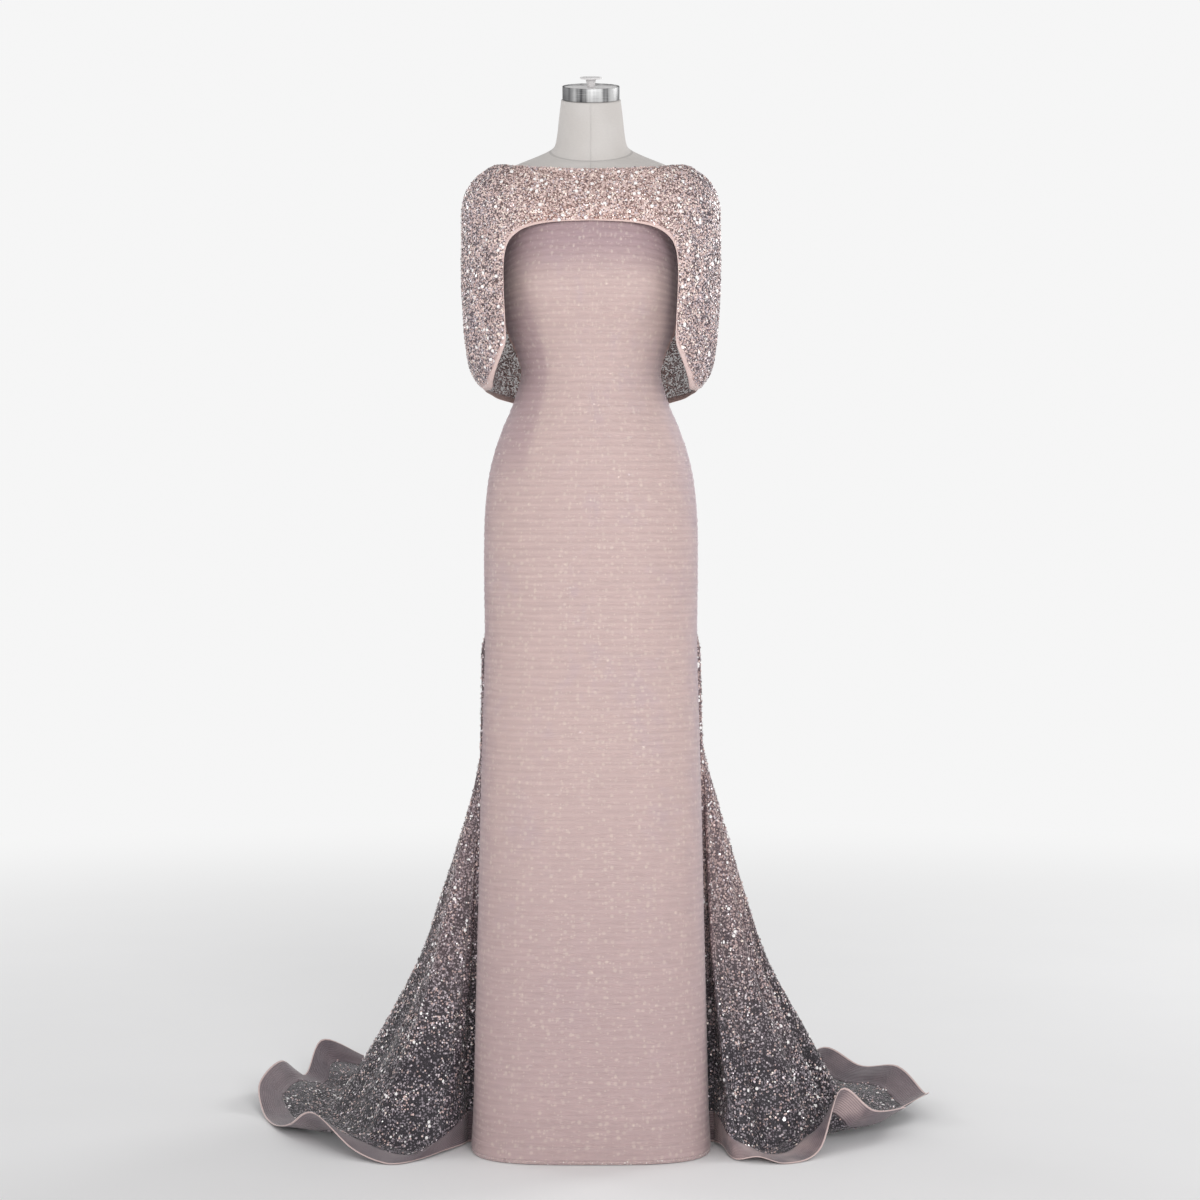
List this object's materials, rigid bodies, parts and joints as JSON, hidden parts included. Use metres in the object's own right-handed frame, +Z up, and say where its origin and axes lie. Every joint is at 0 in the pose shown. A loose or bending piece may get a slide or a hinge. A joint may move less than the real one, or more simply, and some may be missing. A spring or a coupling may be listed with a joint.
{
  "type": "evening gown on dress form",
  "caption": "Floor-length strapless gown with a tucked tulle front, sequinned open-fronted cape and braid-edged train, on a limbless dress form.",
  "frame": {"origin": "on the floor at the middle of the stand's plate, under the pole", "axes": "+Z up, -Y towards the gown's front, +X to the viewer's right"},
  "size_m": [1.1005, 0.7806, 1.6527],
  "materials": {
    "sequin_cloth": "sheer tulle sewn with rows of small matt sequins",
    "tulle": "sheer blush tulle drawn into level tucks",
    "net": "sheer sequinned net, dusky towards the floor",
    "braid": "stiff woven horsehair braid, fine ribs",
    "binding": "narrow satin binding",
    "zip_tape": "plain woven tape over a concealed zip",
    "linen": "tight plain linen cover",
    "knob": "pale satin",
    "steel": "brushed",
    "iron": "dark satin paint"
  },
  "bodies": {
    "root": {"front_centre": "sequin_cloth", "side_front_left": "sequin_cloth", "side_front_right": "sequin_cloth", "back_left": "sequin_cloth", "back_right": "sequin_cloth", "back_zip": "zip_tape", "front_veil": "tulle", "neck_binding": "binding", "train_left": "net", "train_right": "net", "braid_left": "braid", "braid_right": "braid", "cape_front": "sequin_cloth", "cape_back": "sequin_cloth", "form_torso": "linen", "form_cap_band": "steel", "form_cap_plate": "linen", "form_knob": "knob", "stand_plate": "iron", "stand_pole": "steel", "stand_collar": "iron"}
  },
  "joints": []
}
